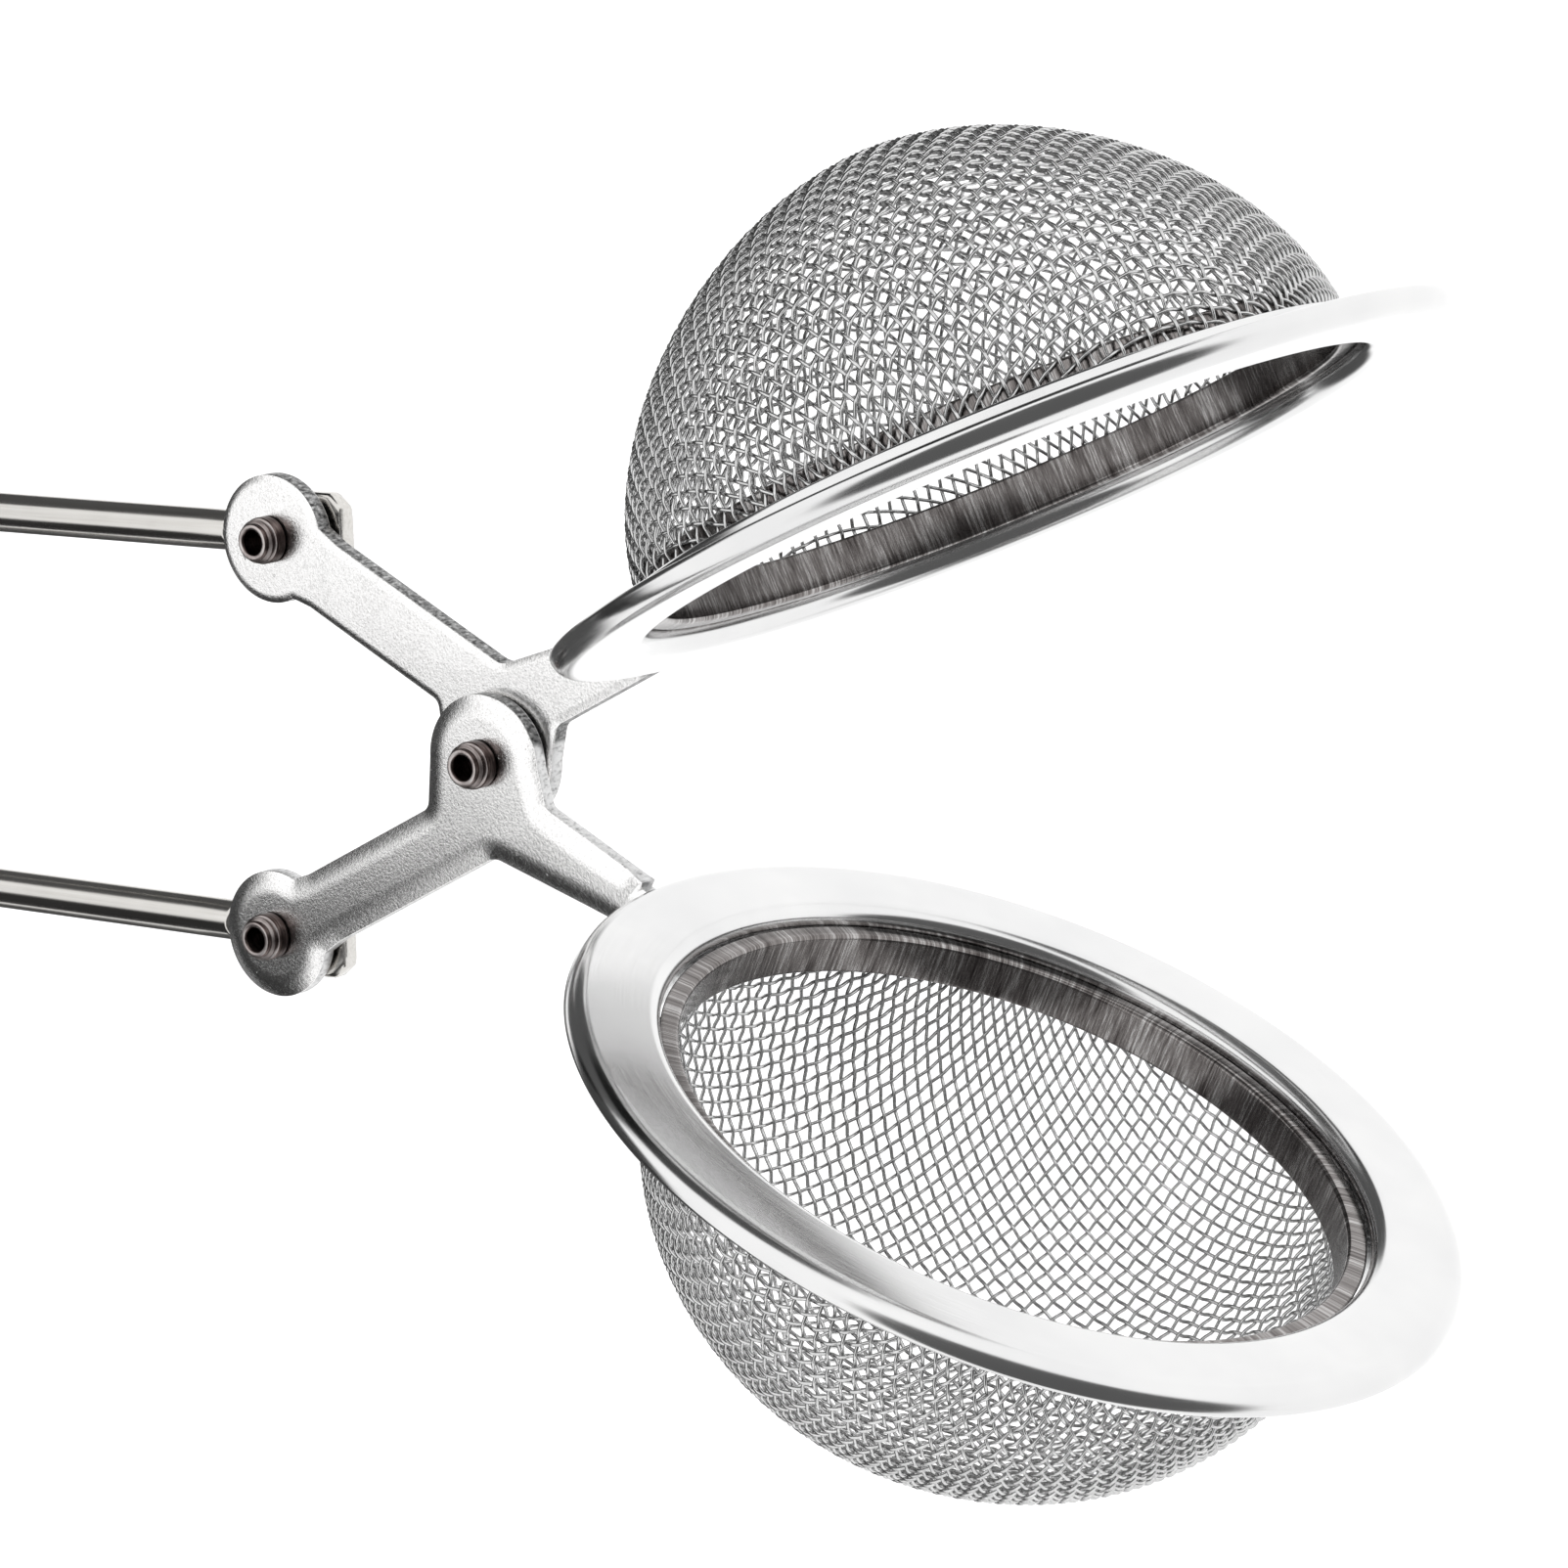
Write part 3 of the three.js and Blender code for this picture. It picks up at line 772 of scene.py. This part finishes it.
class BowlSurface:
    """The middle surface of one bowl's cloth: a rounded dome over a short straight skirt."""

    def __init__(self, height, squareness):
        self.rise = height - CLOTH_INSET
        self.power = squareness

    def level(self, p):
        """Zero on the surface and positive outside it."""
        across = math.hypot(p[0], p[1]) / CLOTH_MID
        up = max(p[2] - DOME_FROM, 0.0) / self.rise
        return across ** self.power + up ** self.power - 1

    def slope(self, points):
        """The gradient of level at each of several points."""
        across = np.maximum(np.hypot(points[:, 0], points[:, 1]) / CLOTH_MID, 1e-6)
        up = np.maximum(points[:, 2] - DOME_FROM, 0.0) / self.rise
        out = self.power * across ** (self.power - 2) / CLOTH_MID ** 2
        along = self.power * up ** (self.power - 1) / self.rise
        return np.stack([out * points[:, 0], out * points[:, 1], along], 1)

    def normals(self, points):
        n = self.slope(points)
        return n / np.linalg.norm(n, axis=1)[:, None]

    def next_crossing(self, a, b, opposite):
        """The point one pitch from both a and b, away from the crossing opposite."""
        p = a + b - opposite
        for _ in range(12):
            wrong = np.array([(p - a) @ (p - a) - CLOTH_PITCH ** 2, (p - b) @ (p - b) - CLOTH_PITCH ** 2,
                              self.level(p)])
            step = np.linalg.solve(np.array([2 * (p - a), 2 * (p - b), self.slope(p[None])[0]]), wrong)
            p = p - step
            if np.abs(step).max() < 1e-10:
                break
        return p

    def meridian(self, count):
        """Crossings along the cloth's own centre wire, one pitch apart, from the pole down."""
        points = [np.array([0.0, 0.0, DOME_FROM + self.rise])]
        ahead = np.array([1.0, 0.0, -0.05])
        for _ in range(count):
            p = points[-1] + ahead * CLOTH_PITCH
            for _ in range(12):
                gap = p - points[-1]
                slope = self.slope(p[None])[0]
                wrong = np.array([gap @ gap - CLOTH_PITCH ** 2, self.level(p)])
                turn = np.array([[2 * gap[0], 2 * gap[2]], [slope[0], slope[2]]])
                step = np.linalg.solve(turn, wrong)
                p = p - np.array([step[0], 0.0, step[1]])
            ahead = (p - points[-1]) / CLOTH_PITCH
            points.append(p)
        return points

    def quadrant(self):
        """Crossings of a quarter of the cloth, {(i, j): point}: it shears but never stretches."""
        count = int((CLOTH_MID + self.rise) * math.pi / 4 / CLOTH_PITCH) + 3
        net = {}
        for i, p in enumerate(self.meridian(count)):
            net[i, 0] = p
            net[0, i] = np.array([p[1], p[0], p[2]])
        lowest = CLOTH_END - 1.5 * CLOTH_PITCH
        for i in range(1, count + 1):
            for j in range(1, count + 1):
                near = [net.get(key) for key in ((i - 1, j), (i, j - 1), (i - 1, j - 1))]
                if any(p is None for p in near) or max(near[0][2], near[1][2]) < lowest:
                    break
                p = self.next_crossing(*near)
                if abs(self.level(p)) > 1e-6 or p[2] > near[2][2] or p[0] <= 0 or p[1] <= 0:
                    break
                net[i, j] = p
        return net


def wire_course(surface, crossings, first_lift):
    """A wire's smooth course through its crossings, over one and under the next, and its normals."""
    p = np.array(crossings)
    padded = np.vstack([2 * p[0] - p[1], p, 2 * p[-1] - p[-2]])
    course, lift = [], []
    for k in range(len(p) - 1):
        p0, p1, p2, p3 = padded[k:k + 4]
        for s in range(CLOTH_STEPS):
            t = s / CLOTH_STEPS
            course.append(0.5 * (2 * p1 + (p2 - p0) * t + (2 * p0 - 5 * p1 + 4 * p2 - p3) * t * t
                                 + (3 * p1 - p0 - 3 * p2 + p3) * t ** 3))
            lift.append((-1) ** k * math.cos(math.pi * t))
    course.append(p[-1])
    lift.append((-1) ** (len(p) - 1))
    course = np.array(course)
    normals = surface.normals(course)
    lifted = course + normals * (np.array(lift) * first_lift * CLOTH_LIFT)[:, None]
    keep = lifted[:, 2] > CLOTH_END
    return lifted[keep], normals[keep]


def tube(course, normals):
    """Verts and faces of a thin closed tube along a course."""
    along = np.gradient(course, axis=0)
    along /= np.linalg.norm(along, axis=1)[:, None]
    side = np.cross(along, normals)
    side /= np.linalg.norm(side, axis=1)[:, None]
    up = np.cross(side, along)
    angles = 2 * np.pi * np.arange(CLOTH_SIDES) / CLOTH_SIDES
    ring = np.cos(angles)[None, :, None] * up[:, None] + np.sin(angles)[None, :, None] * side[:, None]
    verts = (course[:, None] + CLOTH_WIRE_R * ring).reshape(-1, 3)
    n = len(course)
    faces = []
    for i in range(n - 1):
        for k in range(CLOTH_SIDES):
            a = i * CLOTH_SIDES + k
            b = i * CLOTH_SIDES + (k + 1) % CLOTH_SIDES
            faces.append((a, b, b + CLOTH_SIDES, a + CLOTH_SIDES))
    faces.append(tuple(range(CLOTH_SIDES - 1, -1, -1)))
    faces.append(tuple(range((n - 1) * CLOTH_SIDES, n * CLOTH_SIDES)))
    return verts, faces


def cloth_wires(side):
    """All warp and all weft wires of one bowl, about its own axis, as (verts, faces) for each."""
    surface = BowlSurface(*DOMES[side])
    net = {}
    for (i, j), p in surface.quadrant().items():
        for si in (-1, 1):
            for sj in (-1, 1):
                net[si * i, sj * j] = p * np.array([si, sj, 1])
    most = max(max(abs(i), abs(j)) for i, j in net)
    c, s = math.cos(CLOTH_TURN[side]), math.sin(CLOTH_TURN[side])
    turn = np.array([[c, -s, 0], [s, c, 0], [0, 0, 1]])
    sets = []
    for warp in (True, False):
        verts, faces = [], []
        total = 0
        for line in range(-most, most + 1):
            row = []
            for k in range(-most, most + 1):
                key = (k, line) if warp else (line, k)
                if key in net:
                    row.append((k, net[key]))
            if len(row) < 3:
                continue
            sign = (-1) ** (row[0][0] + line) * (1 if warp else -1)
            course, normals = wire_course(surface, [p for _, p in row], sign)
            if len(course) < 6:
                continue
            v, f = tube(course, normals)
            verts.append(v @ turn.T)
            faces += [tuple(n + total for n in face) for face in f]
            total += len(v)
        sets.append((np.vstack(verts), faces))
    return sets


def woven_bowls(material):
    """Both bowls, the warp and the weft of each as one piece."""
    for half, side in (("lower", -1), ("upper", 1)):
        for name, (verts, faces) in zip(("warp", "weft"), cloth_wires(side)):
            turned = faces if side > 0 else [tuple(reversed(face)) for face in faces]
            piece = mesh_object(f"{half}_bowl_{name}_wires", placed(verts, side), turned, material)
            finish_piece(piece, f"{half}_jaw", "woven_wire", f"{half}_mesh_bowl")


# ---------------------------------------------------------------- rivets and washers
def pinned(name, profile, x, z, material, body, slot, node):
    """A closed (radius, y) profile turned about Y at x, z."""
    verts, faces = lathe(unique_profile(profile), RIVET_SEGMENTS)
    points = np.stack([verts[:, 0] + x, verts[:, 2], -verts[:, 1] + z], 1)
    piece = mesh_object(name, points, faces, material)
    build = bmesh.new()
    build.from_mesh(piece.data)
    bmesh.ops.remove_doubles(build, verts=build.verts, dist=1e-8)
    bmesh.ops.dissolve_degenerate(build, edges=build.edges, dist=1e-8)
    bmesh.ops.recalc_face_normals(build, faces=build.faces)
    build.to_mesh(piece.data)
    build.free()
    piece.data.polygons.foreach_set("use_smooth", [True] * len(piece.data.polygons))
    sharpen(piece, 30)
    finish_piece(piece, body, slot, node)


def rivet_profile(tip, near, back):
    """tip is where the head ends, and near and back are the faces of the stack that it holds."""
    head = near - SEAT
    tail = back + SEAT + WASHER_T + SEAT
    floor = tip + RIVET_BORE_DEPTH
    fine = 0.16 * MM
    neck = RIVET_R - 0.12 * MM
    front = RIVET_R - 0.32 * MM
    profile = [(1e-9, floor), (RIVET_BORE * 0.82, floor)]
    profile += arc(RIVET_BORE - fine, floor - fine, fine, 90, 0, 4)
    profile += [(RIVET_BORE, tip + 0.3 * MM)]
    profile += arc(RIVET_BORE + 0.2 * MM, tip + 0.2 * MM, 0.2 * MM, 180, 270, 5)
    profile += arc(front - 0.14 * MM, tip + 0.14 * MM, 0.14 * MM, 270, 360, 5)
    profile += [(front, tip + 0.34 * MM), (neck, tip + 0.46 * MM), (neck, tip + 0.62 * MM),
                (neck - 0.1 * MM, tip + 0.68 * MM), (neck - 0.1 * MM, tip + 0.76 * MM)]
    profile += arc(RIVET_R - 0.12 * MM, tip + 0.94 * MM, 0.12 * MM, 270, 360, 4)
    profile += [(RIVET_R, head - 0.05 * MM), (RIVET_R - 0.05 * MM, head), (SHANK_R, head), (SHANK_R, tail)]
    profile += [(TAIL_R - 0.08 * MM, tail), (TAIL_R, tail + 0.08 * MM)]
    profile += arc(TAIL_R - TAIL_H * 0.75, tail + TAIL_H * 0.25, TAIL_H * 0.75, 0, 90, 8)
    profile += [(0.3 * MM, tail + TAIL_H), (1e-9, tail + TAIL_H * 0.9)]
    return profile


def washer_profile(back, radius):
    """A washer's section; back is the face of the stack that it lies on."""
    y = back + SEAT
    ease_r = 0.1 * MM
    profile = [(HOLE_R, y + ease_r), (HOLE_R + ease_r, y), (radius - ease_r, y)]
    profile += arc(radius - ease_r, y + ease_r, ease_r, 270, 360, 4)
    profile += arc(radius - ease_r * 2, y + WASHER_T - ease_r * 2, ease_r * 2, 0, 90, 5)
    profile += [(HOLE_R + ease_r, y + WASHER_T), (HOLE_R, y + WASHER_T - ease_r)]
    return profile


def fasteners(rivet_metal, washer_metal):
    """The hollow rivets of the two eyes and the centre, each with a washer behind it."""
    for half, side in (("lower", -1), ("upper", 1)):
        back = paddle_mid(side) + PADDLE_T / 2
        z = side * BOW_R
        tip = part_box(f"{half}_eye_rivet")[0].y
        pinned(f"{half}_eye_hollow_rivet", rivet_profile(tip, PLATE_FRONT[side], back), EYE_X, z,
               rivet_metal, f"{half}_arm", "rivet", f"{half}_eye_rivet")
        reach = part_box(f"{half}_eye_washer")[1].z - z
        pinned(f"{half}_eye_back_washer", washer_profile(back, reach), EYE_X, z,
               washer_metal, f"{half}_arm", "stamped_plate", f"{half}_eye_washer")
    back = PLATE_FRONT[1] + PLATE_T
    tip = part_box("centre_rivet")[0].y
    pinned("centre_hollow_rivet", rivet_profile(tip, PLATE_FRONT[-1], back), PIVOT_X, 0,
           rivet_metal, "lower_jaw", "rivet", "centre_rivet")
    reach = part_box("centre_washer")[1].z
    pinned("centre_back_washer", washer_profile(back, reach), PIVOT_X, 0,
           washer_metal, "lower_jaw", "stamped_plate", "centre_washer")


# ---------------------------------------------------------------- studio and camera
FLOOR_Z = -0.16
FLOOR_HALF = 40.0
FLOOR_GLOW = 0.5
TENT = 1.6
# dark flags in the white tent: the way to each, the angles where it starts and is full, its brightness
FLAGS = [
    ((-0.72, 0.16, 0.68), 35, 28, 0.13),
    ((-0.20, -0.10, 0.97), 31, 25, 0.10),
    ((0.75, -0.55, -0.25), 51, 41, 0.16),
    ((-0.95, -0.28, 0.08), 28, 20, 0.08),
    ((-0.84, 0.33, -0.43), 31, 23, 0.12),
]
# a dark card low in front of the handle and its linkage, fading in downward and away from the bowls
CARD_Y = -80 * MM
CARD_X = (-300 * MM, 70 * MM)
CARD_Z = (-700 * MM, -11 * MM)
CARD_FADE_X = (65 * MM, 35 * MM)
CARD_FADE_Z = (-11.5 * MM, -33.5 * MM)
CARD_BRIGHTNESS = 0.04
CAMERA_AZIMUTH = math.radians(36.55)
CAMERA_ELEVATION = math.radians(10.81)
CAMERA_ROLL = math.radians(-1.84)
CAMERA_DISTANCE = 0.3304
CAMERA_LENS = 118.0
AIM_RIGHT = 17.75 * MM
AIM_UP = -1.80 * MM


def flag(tree, direction, way, start, full, brightness):
    """One outside a soft-edged cone of directions, and down to a flag's brightness inside it."""
    dot = tree.nodes.new("ShaderNodeVectorMath")
    dot.operation = "DOT_PRODUCT"
    tree.links.new(direction, dot.inputs[0])
    dot.inputs[1].default_value = Vector(way).normalized()
    edge = [math.cos(math.radians(angle)) for angle in (start, full)]
    return spread(tree, dot.outputs["Value"], *edge, 1, brightness / TENT, "SMOOTHSTEP")


def low_card():
    """A dark card with soft edges that shows only in the metal."""
    made = bpy.data.materials.new("card")
    made.use_nodes = True
    tree = made.node_tree
    tree.nodes.clear()
    at = put(tree, "ShaderNodeSeparateXYZ", Vector=place_vector(tree))
    share = math_node(tree, "MULTIPLY", spread(tree, at.outputs["X"], *CARD_FADE_X, kind="SMOOTHSTEP"),
                      spread(tree, at.outputs["Z"], *CARD_FADE_Z, kind="SMOOTHSTEP"))
    clear = tree.nodes.new("ShaderNodeBsdfTransparent").outputs[0]
    dark = put(tree, "ShaderNodeEmission", Strength=CARD_BRIGHTNESS).outputs[0]
    both = put(tree, "ShaderNodeMixShader", _0=share, _1=clear, _2=dark)
    output = tree.nodes.new("ShaderNodeOutputMaterial")
    tree.links.new(both.outputs[0], output.inputs[0])
    card = mesh_object("low_card", [(x, CARD_Y, z) for z in CARD_Z for x in CARD_X], [(0, 1, 3, 2)], made)
    for kind in ("camera", "diffuse", "transmission", "volume_scatter", "shadow"):
        setattr(card, f"visible_{kind}", False)


def studio():
    """A white tent on a glowing white floor. Its dark flags show in the metal and never behind it."""
    paint = bpy.data.materials.new("floor_paint")
    floor = mesh_object("floor", [(-FLOOR_HALF, -FLOOR_HALF, FLOOR_Z), (FLOOR_HALF, -FLOOR_HALF, FLOOR_Z),
                                  (FLOOR_HALF, FLOOR_HALF, FLOOR_Z), (-FLOOR_HALF, FLOOR_HALF, FLOOR_Z)],
                        [(0, 1, 2, 3)], paint)
    floor.visible_glossy = False
    paint.use_nodes = True
    shader = paint.node_tree.nodes["Principled BSDF"]
    shader.inputs["Base Color"].default_value = (0.9, 0.9, 0.9, 1)
    shader.inputs["Roughness"].default_value = 0.9
    shader.inputs["Emission Color"].default_value = (1, 1, 1, 1)
    shader.inputs["Emission Strength"].default_value = FLOOR_GLOW
    low_card()
    world = bpy.data.worlds.new("studio")
    bpy.context.scene.world = world
    world.use_nodes = True
    tree = world.node_tree
    tree.nodes.clear()
    direction = tree.nodes.new("ShaderNodeTexCoord").outputs["Generated"]
    light = TENT
    for way, start, full, brightness in FLAGS:
        light = math_node(tree, "MULTIPLY", light, flag(tree, direction, way, start, full, brightness))
    seen = put(tree, "ShaderNodeMix", Factor=tree.nodes.new("ShaderNodeLightPath").outputs["Is Camera Ray"])
    tree.links.new(light, seen.inputs[2])
    seen.inputs[3].default_value = TENT
    background = put(tree, "ShaderNodeBackground", Strength=seen.outputs[0])
    output = tree.nodes.new("ShaderNodeOutputWorld")
    tree.links.new(background.outputs[0], output.inputs[0])


def camera():
    """The main view, from in front and the bowls' side, a little above and slightly rolled."""
    az, el, roll = CAMERA_AZIMUTH, CAMERA_ELEVATION, CAMERA_ROLL
    back = Vector((math.sin(az) * math.cos(el), -math.cos(az) * math.cos(el), math.sin(el)))
    right = Vector((math.cos(az), math.sin(az), 0))
    up = back.cross(right)
    right, up = (right * math.cos(roll) + up * math.sin(roll), up * math.cos(roll) - right * math.sin(roll))
    aim = Vector((PIVOT_X, 0, 0)) + right * AIM_RIGHT + up * AIM_UP
    lens = bpy.data.cameras.new("camera")
    lens.lens = CAMERA_LENS
    lens.clip_start = 0.01
    lens.clip_end = 200
    eye = bpy.data.objects.new("camera", lens)
    turn = Matrix((right, up, back)).transposed().to_4x4()
    eye.matrix_world = Matrix.Translation(aim + back * CAMERA_DISTANCE) @ turn
    bpy.context.scene.collection.objects.link(eye)
    bpy.context.scene.camera = eye


camera()
studio()
steel_face = stamped_steel()
steel_edge = sheared_steel_and_shade()
rivet_metal = rivet_steel()
handle(drawn_wire_steel())
for half_side in (-1, 1):
    link_plate(half_side, steel_face, steel_edge)
    rim(half_side, polished_rim_steel(half_side))
    clamp_band(half_side, band_steel_and_shade(half_side))
woven_bowls(cloth_steel())
fasteners(rivet_metal, steel_face)
bpy.context.scene.view_settings.view_transform = "Standard"
